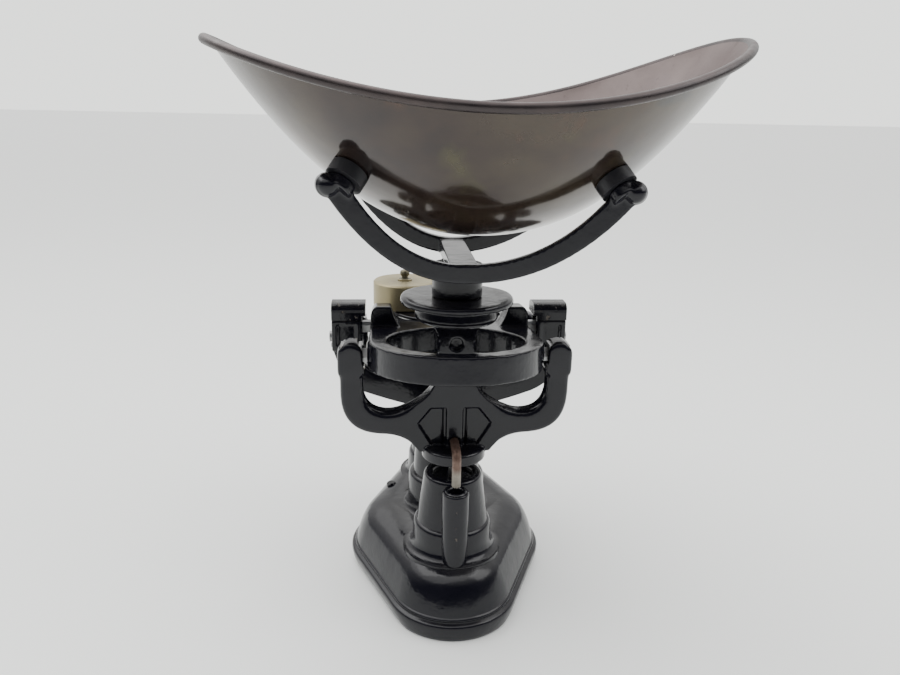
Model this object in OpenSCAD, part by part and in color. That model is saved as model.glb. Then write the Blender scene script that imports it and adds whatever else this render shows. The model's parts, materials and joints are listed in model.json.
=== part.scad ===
// Counter balance scale: an equal-arm beam on knife edges.
// A check bar keeps both carriers upright.
// Millimetres, +Z up. The origin is on the table, straight below the fulcrum.
// -Y is the goods end, which carries the scoop pan; +Y is the weights end.

/* [Beam] */
// Height of the fulcrum knife edge above the table
fulcrum_h = 194; // [190:0.5:200]
// Distance from the fulcrum to each end knife
arm = 61; // [60:0.5:62]
// Angle of the beam at rest, goods end up
tilt = 6; // [5:0.1:6]
// Outer radius of the beam's round ends
beam_r = 61; // [60:0.5:62]
// Radius of the two round openings
eye_r = 48.5; // [47:0.5:50]
// Top face of the beam above the knife edges
beam_top = 6; // [5:0.5:7]
// Depth of the beam casting
beam_depth = 19; // [17:0.5:20]

/* [Base] */
// Half the width of the base
base_w = 78; // [76:0.5:80]
// Half the length of the base
base_n = 119; // [117:0.5:121]
// Height of the flat top that the pillars stand on
deck_h = 47; // [46:0.5:48]
// Height of the two end pillars
pillar_h = 105.7; // [105:0.1:106]
// Outer radius at a pillar's mouth
pillar_r = 21; // [20:0.5:22]
// Radius of the hollow in a pillar
pillar_bore = 13.5; // [13:0.5:15]
// Height of the middle column
column_h = 112; // [110:0.5:114]
// Height of the check bar's pivot
stay_h = 27.5; // [26.5:0.5:28]

/* [Carriers] */
// Radius of the goods carrier's flange
flange_r = 38.4; // [37:0.2:40]
// Top of the flange above the end knife
flange_z = 37.8; // [37:0.1:39]
// Distance from the middle to the centre of a horn
horn_x = 73; // [72:0.5:74]
// Thickness of the carrier casting
carrier_t = 13; // [12:0.5:14]
// Radius of the round foot that meets the pillar's mouth
foot_r = 23; // [22:0.5:24]
// Underside of that foot below the end knife
foot_z = 81.6; // [81.5:0.1:82]
// Radius of the weights plate
plate_r = 46; // [44:0.5:46.5]
// Top of the weights plate above the end knife
plate_z = 12; // [11.5:0.1:13]

/* [Pan] */
// Half the length of the scoop pan's sheet
pan_a = 165.5; // [160:0.5:170]
// Half the width of the scoop pan's sheet
pan_b = 112.5; // [110:0.5:116]
// Height of the pan's ends above its bottom
pan_end_h = 120.5; // [118:0.5:123]
// Height of the pan's front edge above its bottom
pan_side_h = 85.5; // [84:0.5:88]
// Height of the pan's back edge above its bottom
pan_back_h = 77; // [76:0.5:88]
// How full the bowl is, where 2 is a plain parabola
pan_swell = 2.15; // [2:0.05:2.3]
// Thickness of the sheet
pan_t = 0.8; // [0.8:0.1:1.2]
// Radius of the wired rim
rim_r = 3; // [2.5:0.1:3.2]
// Sideways place of the pan's bottom
pan_x = 15.8; // [14:0.2:17]
// Height of the pan's bottom
pan_z = 281.6; // [281:0.2:283]
// How far the loose pan leans towards the goods end, in degrees
pan_lean = 2.5; // [1:0.5:3.5]
// How far it tips sideways
pan_tip = -1.4; // [-2:0.1:0]
// How far it is turned on its cradle
pan_swing = 4.5; // [2:0.5:6]

/* [Cradle] */
// Half the distance between the cradle's two bows
bow_y = 51; // [48:0.5:54]
// Half the distance between the pads across the pan
pad_x = 76.5; // [74:0.5:78]
// Distance of the pads from the middle, along the beam
pad_y = 59; // [57:0.5:60]
// Sideways offset of the pads from the hub
cradle_shift = 9; // [6:0.5:10]
// Underside of the bows at the spine
bow_z = 258.5; // [257:0.5:260]
// Height of a bow's bar
bow_h = 11.4; // [10:0.2:12]
// Thickness of a bow's bar
bow_t = 7.5; // [6:0.5:9]
// Radius of a pad
pad_r = 11.5; // [10:0.5:12]
// Thickness of a pad
pad_t = 8; // [7:0.5:9]

/* [Weight] */
// Radius of the brass weight
weight_r = 26.5; // [24:0.5:28]
// Height of the brass weight
weight_h = 21.5; // [20:0.5:24]
// Sideways place of the weight on its plate
weight_x = -33; // [-34:1:0]
// Its place along the beam, from the middle of the plate
weight_y = 3; // [-4:1:4]

/* [Hidden] */
$fn = 64;
gap = 0.3;
deck_under = 41;
wall = 6;
front_y = -arm * cos(tilt);
front_z = fulcrum_h + arm * sin(tilt);
rear_y = arm * cos(tilt);
rear_z = fulcrum_h - arm * sin(tilt);
knife_x = 79;
knife_h = 9;
rod_r = 3.2;
rod_y = 27.5;
rod_z = -69.2;
rod_tip_z = -94.4;
leg_end = stay_h - fulcrum_h;
stay_half_x = 7;
leg_half_x = 3;
leg_stub_r = 5;
leg_stub_top = rod_z - rod_r - 0.8;
hub_r = 17.4;
spigot_r = 7;
column_r = 24.5;
pan_at = [pan_x, front_y - 0.6, pan_z];
pan_turn = [pan_lean, pan_tip, pan_swing];

iron = [0.09, 0.09, 0.10];
steel = [0.55, 0.55, 0.56];
bronze = [0.32, 0.25, 0.20];
brass = [0.45, 0.40, 0.28];
rust = [0.35, 0.25, 0.19];
felt = [0.07, 0.07, 0.07];

// ---- Shared geometry -------------------------------------------------------

// Points along an arc in a plane, from angle a0 to a1.
function arc(c, r, a0, a1, n) =
  [for (i = [0 : n]) let (a = a0 + (a1 - a0) * i / n) c + r * [cos(a), sin(a)]];

// Points along a quadratic curve from p to r, pulled towards q.
function bend(p, q, r, n = 8) =
  [for (i = [0 : n]) let (t = i / n) (1 - t) * (1 - t) * p + 2 * t * (1 - t) * q + t * t * r];

function flip(pts) = [for (i = [len(pts) - 1 : -1 : 0]) [-pts[i][0], pts[i][1]]];

// A flat outline in X and Z, thick along Y and centred on it.
module upright(t) {
  translate([0, t / 2, 0]) rotate([90, 0, 0]) linear_extrude(t) children();
}

// A round bar along X.
module bar_x(r, x0, x1) {
  translate([x0, 0, 0]) rotate([0, 90, 0]) cylinder(r = r, h = x1 - x0);
}

// A round bar along Y.
module bar_y(r, y0, y1) {
  translate([0, y0, 0]) rotate([-90, 0, 0]) cylinder(r = r, h = y1 - y0);
}

module both_sides() {
  children();
  mirror([1, 0, 0]) children();
}

module on_beam() {
  translate([0, 0, fulcrum_h]) rotate([-tilt, 0, 0]) children();
}

module on_front() {
  translate([0, front_y, front_z]) children();
}

module on_rear() {
  translate([0, rear_y, rear_z]) rotate([0, 0, 180]) children();
}

// ---- Base ------------------------------------------------------------------

side_r = 60;
nose_r = 49.4;
nose_reach = base_n - nose_r;
side_reach = base_w - side_r;
tangent = atan2(nose_reach, side_reach) - acos((nose_r - side_r) / norm([nose_reach, side_reach]));

// The base's plan: round nose, round cheeks and straight flanks, drawn in by an inset.
function boat(inset) = concat(
  arc([side_reach, 0], side_r - inset, tangent, -tangent, 6),
  arc([0, nose_reach], nose_r - inset, -tangent, 180 + tangent, 16),
  arc([-side_reach, 0], side_r - inset, 180 + tangent, 180 - tangent, 6),
  arc([0, -nose_reach], nose_r - inset, 180 - tangent, 360 + tangent, 16)
);

// A solid through a stack of plans, each given as [height, inset].
module loft(levels) {
  n = len(boat(0));
  m = len(levels);
  pts = [for (l = levels) for (p = boat(l[1])) [p[0], p[1], l[0]]];
  sides = [for (k = [0 : m - 2]) for (i = [0 : n - 1])
    [k * n + i, (k + 1) * n + i, (k + 1) * n + (i + 1) % n, k * n + (i + 1) % n]];
  bottom = [for (i = [0 : n - 1]) i];
  top = [for (i = [n - 1 : -1 : 0]) (m - 1) * n + i];
  polyhedron(points = pts, faces = concat([bottom], sides, [top]));
}

rim_top = 14.2;
rim_foot = 3;
base_levels = [
  [rim_foot, 0], [rim_top - 2, 0], [rim_top - 0.6, 0.8], [rim_top, 2.6], [rim_top + 1.2, 2.2],
  [rim_top + 3, 2.8], [rim_top + 5, 4.2], [24, 6.3], [34, 10.4], [40, 13.6], [44, 17.5],
  [46.3, 22.5], [deck_h, 29]
];
hollow_levels = [[rim_foot, wall], [rim_top, wall + 1], [30, 15], [37, 20], [deck_under, 30]];

// Outline of an end pillar, from the deck up to its mouth.
function pillar_side() = concat(
  [[0, deck_under - 2], [36, deck_under - 2], [36, deck_h - 1]],
  bend([36, deck_h - 1], [29.5, deck_h - 0.5], [29.3, deck_h + 8]),
  [[28.8, 64.5]],
  bend([28.8, 64.5], [28.6, 67], [26.3, 68.2], 4),
  [[pillar_r + 0.4, pillar_h - 2.2], [pillar_r - 1, pillar_h], [0, pillar_h]]
);

module pillar() {
  rotate_extrude() polygon(pillar_side());
}

// The rib in front of each pillar, with the socket that the guide rod drops into.
rib_y = 26;
rib_r = 9.5;
rib_h = 102.5;
module guide_rib() {
  translate([0, -rib_y, deck_under - 2]) cylinder(r = rib_r, h = rib_h - deck_under + 2);
  translate([-rib_r, -rib_y, deck_under - 2]) cube([2 * rib_r, 12, rib_h - deck_under - 6]);
}

socket_r = 4.8;
module rod_socket() {
  translate([0, -rod_y, rib_h - 22]) cylinder(r = socket_r, h = 30);
}

module column() {
  rotate_extrude() polygon(concat(
    [[0, deck_under - 2], [37, deck_under - 2], [37, deck_h - 0.5]],
    bend([37, deck_h - 0.5], [31.5, deck_h], [31, deck_h + 7]),
    [[30.4, 74]],
    bend([30.4, 74], [30.2, 76.5], [26.6, 77.6], 4),
    [[column_r + 0.3, column_h - 1], [column_r - 0.8, column_h], [0, column_h]]
  ));
}

lug_x0 = 9;
lug_x1 = 15;
module stay_lugs() {
  both_sides() translate([lug_x0, -9, stay_h - 9]) cube([lug_x1 - lug_x0, 18, deck_under - stay_h + 10]);
}

// A small boss left from casting, on the shoulder of the deck.
module deck_boss() {
  translate([-45, 34, deck_h - 6]) cylinder(r = 4, h = 6.5);
}

stay_pin_r = 3;
bolt_x = 15;
module base_casting() {
  color(iron) difference() {
    union() {
      difference() {
        union() {
          linear_extrude(rim_foot) polygon(boat(0.8));
          loft(base_levels);
        }
        translate([0, 0, -1]) linear_extrude(rim_foot + 1) polygon(boat(wall));
        loft(hollow_levels);
      }
      column();
      translate([0, -arm, 0]) {
        pillar();
        guide_rib();
      }
      translate([0, arm, 0]) rotate([0, 0, 180]) {
        pillar();
        guide_rib();
      }
      stay_lugs();
      deck_boss();
    }
    for (s = [-1, 1]) {
      translate([0, s * arm, deck_under - 4]) cylinder(r = pillar_bore, h = pillar_h);
      translate([0, s * arm, pillar_h - 3]) cylinder(r1 = pillar_bore, r2 = pillar_bore + 2.5, h = 3.1);
    }
    translate([0, -arm, 0]) rod_socket();
    translate([0, arm, 0]) rotate([0, 0, 180]) rod_socket();
    translate([0, 0, stay_h]) bar_x(stay_pin_r, -20, 20);
    for (s = [-1, 1]) translate([s * bolt_x, 0, column_h - 20]) cylinder(r = 3, h = 30);
  }
}

module stay_pin() {
  color(steel) translate([0, 0, stay_h]) {
    bar_x(stay_pin_r, -lug_x1 - 2, lug_x1 + 2);
    both_sides() bar_x(stay_pin_r + 1.6, lug_x1, lug_x1 + 2);
  }
}

// ---- Fulcrum yoke ----------------------------------------------------------

head_in = 67;
head_out = 90;
head_top = 206.3;
head_half_y = 11;
bearing_end = 86;
yoke_half = concat(
  [[0, 131]],
  bend([10, 131.5], [42, 139], [66, 148]),
  bend([66, 148], [84, 156], [86, 172]),
  [[head_out, 184], [head_out, head_top], [head_in, head_top], [head_in, 174]],
  bend([head_in, 174], [64, 164], [44, 160]),
  [[0, 153]]
);

head_low = 182;
seat_floor = 186;
pocket_half = 7.5;
screw_z = 191;
low_screw_z = 184;
screw_r = 1.8;
module yoke_pocket() {
  translate([head_in - 1, -pocket_half, seat_floor]) cube([20, 2 * pocket_half, 40]);
}

module fulcrum_yoke() {
  color(iron) difference() {
    union() {
      both_sides() upright(18) polygon(yoke_half);
      both_sides() translate([head_in, -head_half_y, head_low])
        cube([head_out - head_in, 2 * head_half_y, head_top - head_low]);
      translate([0, 0, column_h]) cylinder(r = column_r - 1, h = 7);
      translate([0, 0, column_h + 6]) cylinder(r1 = 20, r2 = 15, h = 24);
    }
    both_sides() yoke_pocket();
    both_sides() for (s = [-1, 1])
      translate([head_in + 4, s * (head_half_y + 0.5) - 1.5, seat_floor]) cube([15, 3, 17]);
    both_sides() translate([0, 0, screw_z]) bar_x(screw_r, head_out - 6, head_out + 1);
    for (s = [-1, 1]) {
      translate([s * bolt_x, 0, column_h - 1]) cylinder(r = 3, h = 10);
      translate([s * bolt_x, 0, column_h + 7]) cylinder(r = 6, h = 14);
    }
  }
}

module yoke_bolts() {
  color(iron) for (s = [-1, 1]) translate([s * bolt_x, 0, 0]) {
    translate([0, 0, column_h - 18]) cylinder(r = 3, h = 25);
    translate([0, 0, column_h + 7]) cylinder(r = 5, h = 3.6, $fn = 6);
  }
}

// A block with a wide groove on top for a knife edge.
module groove_block(x0, x1, half_y, depth) {
  translate([x0, 0, 0]) rotate([90, 0, 90]) linear_extrude(x1 - x0) polygon([
    [-half_y, -depth], [half_y, -depth], [half_y, 1.6], [4.6, 1.6], [0, -0.08], [-4.6, 1.6], [-half_y, 1.6]
  ]);
}

module fulcrum_bearings() {
  color(steel) translate([0, 0, fulcrum_h]) both_sides()
    groove_block(head_in + 1, bearing_end, pocket_half, fulcrum_h - seat_floor);
}

cap_h = 12.7;
cap_lip = 2.6;

// A cap's outline, seen along the knife: upright sides under a rounded top.
function cap_side() =
  let (top = head_top + cap_h, low = head_top + 6, edge = head_half_y)
  concat(
    [[-edge, head_top], [edge, head_top]],
    bend([edge, low], [edge, top], [edge - 7, top], 6),
    bend([7 - edge, top], [-edge, top], [-edge, low], 6)
  );

module bearing_caps() {
  color(iron) both_sides() difference() {
    translate([head_in - cap_lip, 0, 0]) rotate([90, 0, 90])
      linear_extrude(head_out - head_in + cap_lip) polygon(cap_side());
    translate([head_in - 3, -pocket_half, head_top - 1]) cube([17, 2 * pocket_half, 4]);
    translate([head_in - 3, -12, head_top - 1]) cube([3, 24, 4.5]);
  }
}

module cap_screws() {
  color(steel) both_sides() {
    translate([0, 0, screw_z]) bar_x(screw_r, bearing_end + 0.2, head_out);
    translate([0, 0, screw_z]) bar_x(4.2, head_out, head_out + 2.2);
    translate([0, 0, low_screw_z]) bar_x(screw_r, bearing_end + 0.2, head_out + 1.1);
  }
}

// ---- Beam ------------------------------------------------------------------

module stadium(r) {
  for (s = [-1, 1]) translate([0, s * arm]) circle(r);
  square([2 * r, 2 * arm], center = true);
}

// Knife section, edge at the origin and body above it.
module knife_section() {
  polygon([[0, 0], [4.2, 6.2], [4.2, knife_h], [-4.2, knife_h], [-4.2, 6.2]]);
}

module knife(x0, x1) {
  translate([x0, 0, 0]) rotate([90, 0, 90]) linear_extrude(x1 - x0) knife_section();
}

module end_knives() {
  both_sides() rotate([180, 0, 0]) knife(51, knife_x);
}

boss_x0 = 44;
boss_x1 = 60.5;
module fulcrum_boss() {
  upright(22) polygon(concat(
    [[boss_x0 - 6, 0], [boss_x1, 0], [boss_x1, 14]],
    bend([boss_x1, 14], [boss_x1 - 0.5, 19.5], [boss_x1 - 4, 21.5], 5),
    [[boss_x0 + 1, 21.5]],
    bend([boss_x0 + 1, 21.5], [boss_x0 - 1, 12], [boss_x0 - 6, beam_top], 5)
  ));
}

module beam_casting() {
  color(iron) on_beam() difference() {
    union() {
      translate([0, 0, beam_top - beam_depth]) linear_extrude(beam_depth) stadium(beam_r);
      both_sides() fulcrum_boss();
      for (s = [-1, 1]) both_sides() translate([0, s * arm, -4]) bar_x(8, 52, beam_r + 0.8);
    }
    for (s = [-1, 1]) {
      translate([0, s * arm, -30]) cylinder(r = eye_r, h = 60);
      translate([0, s * arm, 0]) end_knives();
    }
    both_sides() knife(48, 70);
  }
}

module fulcrum_knives() {
  color(steel) on_beam() both_sides() knife(48, 84);
}

module front_end_knives() {
  color(steel) on_beam() translate([0, -arm, 0]) end_knives();
}

module rear_end_knives() {
  color(steel) on_beam() translate([0, arm, 0]) end_knives();
}

// ---- Check bar -------------------------------------------------------------

stay_eye_r = 6.5;
fork_half_x = leg_half_x + 0.5;
leg_pin_r = 2.5;
module check_bar() {
  color(iron) translate([0, 0, stay_h]) rotate([-tilt, 0, 0]) difference() {
    union() {
      translate([-stay_half_x, -arm, -5]) cube([2 * stay_half_x, 2 * arm, 10]);
      for (y = [-arm, 0, arm]) translate([0, y, 0]) bar_x(stay_eye_r, -stay_half_x, stay_half_x);
    }
    bar_x(stay_pin_r + 0.05, -20, 20);
    for (s = [-1, 1]) translate([0, s * arm, 0]) {
      bar_x(leg_pin_r + 0.5, -20, 20);
      translate([-fork_half_x, -10, -10]) cube([2 * fork_half_x, 20, 20]);
    }
  }
}

// ---- Carriers --------------------------------------------------------------

// Right half of the carrier's outline, from the neck down to the foot and back up the horn.
neck_w = 12.5;
carrier_half = concat(
  [[0, -18], [neck_w, -18]],
  bend([neck_w, -18], [15, -32], [29, -40.5]),
  bend([29, -40.5], [40, -48.5], [50, -47.4]),
  bend([50, -47.4], [64.5, -46], [66.3, -30]),
  [[66.8, -16], [79.8, -16], [79.8, -34]],
  bend([79.8, -34], [79, -60], [54, -61.8]),
  bend([54, -61.8], [36, -62], [30, -71]),
  [[25.5, -foot_z + 5], [0, -foot_z + 5]]
);

module neck(top) {
  upright(18) polygon(concat(
    [[-neck_w, -20], [neck_w, -20], [neck_w, top - 15]],
    bend([neck_w, top - 15], [neck_w + 1, top - 2], [neck_w + 11.5, top], 6),
    flip(bend([neck_w, top - 15], [neck_w + 1, top - 2], [neck_w + 11.5, top], 6))
  ));
}

panel = [[17.2, -43.4], [26.4, -55], [15.6, -73], [-15.6, -73], [-26.4, -55], [-17.2, -43.4]];
strip_w = 5.8;
groove_w = 3;

module web_panels() {
  both_sides() {
    translate([0, -carrier_t / 2, 0]) upright(5) intersection() {
      polygon(panel);
      translate([strip_w + groove_w, -90]) square([40, 90]);
    }
    translate([0, -carrier_t / 2, 0]) upright(7.4) intersection() {
      polygon(panel);
      translate([strip_w, -90]) square([groove_w, 90]);
    }
  }
}

// A rounded head on each horn; the end knife reaches into it from the side.
horn_top = 5.3;
head_r = 8.3;
head_t = 15;
pocket_floor = -12;
pocket_top = 3.2;
module horn_head() {
  difference() {
    union() {
      translate([horn_x, 0, horn_top - head_r]) bar_y(head_r, -head_t / 2, head_t / 2);
      translate([horn_x - head_r, -head_t / 2, -18]) cube([2 * head_r, head_t, 18 + horn_top - head_r]);
      translate([horn_x, 0, -25]) cylinder(r1 = 6.5, r2 = 7.5, h = 8);
    }
    translate([60, -6, pocket_floor]) cube([knife_x - 60 + 1, 12, pocket_top - pocket_floor]);
  }
}

module carrier_foot() {
  translate([0, 0, -foot_z]) cylinder(r = foot_r, h = 7.5);
  translate([0, 0, -foot_z + 7.5]) cylinder(r1 = foot_r, r2 = foot_r - 2, h = 1.5);
}

module carrier_body(top) {
  difference() {
    union() {
      both_sides() upright(carrier_t) polygon(carrier_half);
      neck(top);
      both_sides() horn_head();
      carrier_foot();
    }
    web_panels();
    mirror([0, 1, 0]) web_panels();
    translate([0, 0, rod_z]) bar_y(rod_r, -40, 0);
    translate([0, 0, -foot_z - 1]) cylinder(r = leg_stub_r, h = leg_stub_top + foot_z + 1);
  }
}

flange_t = 5;
module front_carrier() {
  color(iron) on_front() difference() {
    union() {
      carrier_body(21.5);
      rotate_extrude() polygon(concat(
        [[0, 20.5], [25, 20.5]],
        bend([25, 20.5], [28.6, 21], [29, 25], 5),
        [[27.6, flange_z - flange_t - 2], [30, flange_z - flange_t]],
        bend(
          [flange_r - 1.6, flange_z - flange_t],
          [flange_r, flange_z - flange_t],
          [flange_r, flange_z - 2.5],
          4
        ),
        bend([flange_r, flange_z - 2.5], [flange_r - 0.4, flange_z], [flange_r - 2, flange_z], 4),
        [[0, flange_z]]
      ));
    }
    translate([0, 0, flange_z - 26]) cylinder(r = spigot_r + 0.08, h = 40);
    translate([0, 0, 5]) bar_y(4.5, -12, -6);
  }
}

plate_t = 4;
drum_r = 40;
drum_floor = -24;
core_r = 21;
stud_x = 24;
stud_z = -56;
stud_r = 2.5;
module rear_carrier() {
  color(iron) on_rear() difference() {
    union() {
      carrier_body(2);
      difference() {
        translate([0, 0, drum_floor]) cylinder(r = drum_r, h = plate_z - plate_t - drum_floor);
        translate([0, 0, drum_floor + 4]) rotate_extrude()
          translate([core_r, 0]) square([drum_r - 3 - core_r, plate_z - plate_t - drum_floor]);
      }
    }
    for (s = [-1, 1]) translate([s * 14, 0, plate_z - plate_t - 12]) cylinder(r = 2, h = 14);
    translate([stud_x, 0, stud_z]) bar_y(stud_r, -10, 0);
  }
}

// Lead run into the drum under the weights plate, which balances the empty pan.
module balance_lead() {
  color(steel) on_rear() translate([0, 0, drum_floor + 4]) rotate_extrude()
    translate([core_r, 0]) square([drum_r - 3 - core_r, plate_z - plate_t - drum_floor - 6]);
}

// Horn bearings face down and sit on the end knives.
module horn_bearings() {
  both_sides() rotate([180, 0, 0]) groove_block(horn_x - 7.4, knife_x + 1, 6, 3.2);
}

module front_horn_bearings() {
  color(steel) on_front() horn_bearings();
}

module rear_horn_bearings() {
  color(steel) on_rear() horn_bearings();
}

// The cranked rod: out of the carrier, then down towards its socket.
crank = 5;
module guide_rod() {
  translate([0, 0, rod_z]) bar_y(rod_r, -rod_y + crank, -2);
  translate([0, -rod_y + crank, rod_z - crank]) rotate([0, -90, 0]) rotate_extrude(angle = -90)
    translate([crank, 0]) circle(rod_r);
  translate([0, -rod_y, rod_tip_z + 1.2]) cylinder(r = rod_r, h = rod_z - crank - rod_tip_z - 1.2);
  translate([0, -rod_y, rod_tip_z]) cylinder(r1 = rod_r - 1, r2 = rod_r, h = 1.2);
}

module front_guide_rod() {
  color(rust) on_front() guide_rod();
}

module rear_guide_rod() {
  color(rust) on_rear() guide_rod();
}

leg_eye_r = 6;
module leg() {
  difference() {
    union() {
      translate([0, 0, -foot_z - 6]) cylinder(r = leg_stub_r, h = leg_stub_top + foot_z + 6);
      translate([-leg_half_x, -4.5, leg_end]) cube([2 * leg_half_x, 9, -leg_end - foot_z]);
      translate([0, 0, leg_end]) bar_x(leg_eye_r, -leg_half_x, leg_half_x);
    }
    translate([0, 0, leg_end]) bar_x(leg_pin_r, -10, 10);
  }
}

module front_leg() {
  color(steel) on_front() leg();
}

module rear_leg() {
  color(steel) on_rear() leg();
}

module leg_pin() {
  translate([0, 0, leg_end]) bar_x(leg_pin_r, -9, 9);
}

module front_leg_pin() {
  color(steel) on_front() leg_pin();
}

module rear_leg_pin() {
  color(steel) on_rear() leg_pin();
}

// ---- Weights end -----------------------------------------------------------

module weights_plate() {
  color(iron) on_rear() difference() {
    rotate_extrude() polygon(concat(
      [[0, plate_z - plate_t], [plate_r - 1.5, plate_z - plate_t], [plate_r, plate_z - plate_t + 1.5]],
      bend([plate_r, plate_z - 1.5], [plate_r - 0.2, plate_z], [plate_r - 2, plate_z], 4),
      [[0, plate_z]]
    ));
    for (s = [-1, 1]) translate([s * 14, 0, 0]) {
      cylinder(r = 2, h = 30);
      translate([0, 0, plate_z - 2]) cylinder(r1 = 2, r2 = 4.1, h = 2.1);
    }
  }
}

module plate_screws() {
  color(iron) on_rear() for (s = [-1, 1]) translate([s * 14, 0, 0]) {
    translate([0, 0, plate_z - plate_t - 11]) cylinder(r = 2, h = plate_t + 9);
    translate([0, 0, plate_z - 2]) cylinder(r1 = 2, r2 = 4, h = 2);
  }
}

// A small balance weight hung on the outer face of the weights carrier.
trim_r = 18;
trim_h = 38;
trim_bottom = -80;
module trim_weight() {
  color(brass) on_rear() {
    translate([stud_x, -carrier_t / 2 - trim_r, trim_bottom]) {
      translate([0, 0, 1.5]) cylinder(r = trim_r, h = trim_h - 1.5);
      cylinder(r1 = trim_r - 1.5, r2 = trim_r, h = 1.5);
    }
    translate([stud_x - 6, -carrier_t / 2 - 6, trim_bottom + 14]) cube([12, 6, 20]);
    translate([stud_x, 0, stud_z]) bar_y(stud_r, -12, -0.5);
  }
}

module on_plate() {
  translate([weight_x, rear_y + weight_y, rear_z + plate_z + gap]) children();
}

knob_r = 6;
module brass_weight() {
  color(brass) on_plate() difference() {
    rotate_extrude() polygon([
      [0, 0.8], [weight_r - 6, 0.8], [weight_r - 5, 0], [weight_r - 1, 0], [weight_r, 1],
      [weight_r, weight_h - 1.2], [weight_r - 1.2, weight_h], [0, weight_h]
    ]);
    translate([0, 0, weight_h - 8]) cylinder(r = 2.5, h = 10);
  }
}

module weight_knob() {
  color(brass) on_plate() translate([0, 0, weight_h]) {
    translate([0, 0, -7]) cylinder(r = 2.5, h = 8);
    rotate_extrude() polygon(concat(
      [[0, 0], [knob_r, 0], [knob_r, 1], [2.6, 2.2], [2.6, 3.4]],
      bend([3.4, 4], [5, 6.5], [3, 8.4], 5),
      [[0, 8.8]]
    ));
  }
}

// ---- Pan -------------------------------------------------------------------

// Height of the pan's sheet over its own middle, a bowl that curves differently along, in front and behind.
fuller = pan_swell / 2 - 1;
function rim_share(x, y) = max(pow(x / pan_a, 2) + pow(y / pan_b, 2), 0.000001);
function side_rise(y) = y > 0 ? pan_back_h : pan_side_h;
function saddle(x, y) = pan_end_h * pow(x / pan_a, 2) + side_rise(y) * pow(y / pan_b, 2);
function bowl(x, y) = saddle(x, y) * pow(rim_share(x, y), fuller);

// Unit normal of the bowl, pointing up and in.
function bowl_normal(x, y) =
  let (
    s = rim_share(x, y),
    k = 2 * pow(s, fuller),
    more = fuller * saddle(x, y) / s,
    n = [-k * x * (pan_end_h + more) / pow(pan_a, 2), -k * y * (side_rise(y) + more) / pow(pan_b, 2), 1]
  ) n / norm(n);

// The pan's lean and turn, as the rows of one rotation.
function turn_x(p, a) = [p[0], p[1] * cos(a) - p[2] * sin(a), p[1] * sin(a) + p[2] * cos(a)];
function turn_y(p, a) = [p[0] * cos(a) + p[2] * sin(a), p[1], -p[0] * sin(a) + p[2] * cos(a)];
function turn_z(p, a) = [p[0] * cos(a) - p[1] * sin(a), p[0] * sin(a) + p[1] * cos(a), p[2]];
function pan_dir(p) = turn_z(turn_y(turn_x(p, pan_turn[0]), pan_turn[1]), pan_turn[2]);
function pan_place(p) = pan_at + pan_dir(p);

rim_steps = 72;
bowl_rings = 9;
function pan_point(k, i, lift) =
  let (a = 360 * i / rim_steps, t = k / bowl_rings, x = pan_a * t * cos(a), y = pan_b * t * sin(a))
  pan_place([x, y, bowl(x, y)] + lift * bowl_normal(x, y));

module pan_shell() {
  inner = [for (k = [1 : bowl_rings]) for (i = [0 : rim_steps - 1]) pan_point(k, i, pan_t)];
  outer = [for (k = [1 : bowl_rings]) for (i = [0 : rim_steps - 1]) pan_point(k, i, 0)];
  n = rim_steps;
  m = len(inner);
  pts = concat(inner, outer, [pan_point(0, 0, pan_t), pan_point(0, 0, 0)]);
  inner_faces = [for (k = [0 : bowl_rings - 2]) for (i = [0 : n - 1]) let (j = (i + 1) % n)
    each [[k * n + i, (k + 1) * n + j, (k + 1) * n + i], [k * n + i, k * n + j, (k + 1) * n + j]]];
  outer_faces = [for (k = [0 : bowl_rings - 2]) for (i = [0 : n - 1]) let (j = (i + 1) % n)
    each [[m + k * n + i, m + (k + 1) * n + i, m + (k + 1) * n + j],
      [m + k * n + i, m + (k + 1) * n + j, m + k * n + j]]];
  edge = [for (i = [0 : n - 1]) let (j = (i + 1) % n, a = (bowl_rings - 1) * n)
    each [[a + i, a + j, m + a + j], [a + i, m + a + j, m + a + i]]];
  middle = [for (i = [0 : n - 1]) let (j = (i + 1) % n) each [[2 * m, j, i], [2 * m + 1, m + i, m + j]]];
  color(bronze) polyhedron(points = pts, faces = concat(inner_faces, outer_faces, edge, middle));
}

rim_sides = 8;
rim_out = rim_r - 0.6;
module pan_rim_wire() {
  pts = [for (i = [0 : rim_steps - 1]) let (
    a = 360 * i / rim_steps,
    c = [pan_a * cos(a), pan_b * sin(a)],
    out = [pan_b * cos(a), pan_a * sin(a)] / norm([pan_b * cos(a), pan_a * sin(a)])
  ) for (s = [0 : rim_sides - 1]) let (b = 360 * s / rim_sides)
    pan_place([
      c[0] + out[0] * (rim_out + rim_r * cos(b)),
      c[1] + out[1] * (rim_out + rim_r * cos(b)),
      bowl(c[0], c[1]) + rim_r * sin(b)
    ])];
  faces = [for (i = [0 : rim_steps - 1]) for (s = [0 : rim_sides - 1])
    let (j = (i + 1) % rim_steps, t = (s + 1) % rim_sides)
    each [[i * rim_sides + s, i * rim_sides + t, j * rim_sides + t],
      [i * rim_sides + s, j * rim_sides + t, j * rim_sides + s]]];
  color(bronze) polyhedron(points = pts, faces = faces);
}

// ---- Cradle ----------------------------------------------------------------

// Each pad is named by its side and its end, and touches the bowl square on.
pads = [[-1, -1], [1, -1], [1, 1], [-1, 1]];
function pad_flat(p) = turn_z(
  [cradle_shift + p[0] * pad_x - pan_at[0], front_y + p[1] * pad_y - pan_at[1], 0], -pan_turn[2]);
function pad_touch(p) = let (f = pad_flat(p)) pan_place([f[0], f[1], bowl(f[0], f[1])]);
function pad_normal(p) = let (f = pad_flat(p)) pan_dir(bowl_normal(f[0], f[1]));
function pad_seat(p) = pad_touch(p) - (pad_t + gap) * pad_normal(p);

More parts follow.
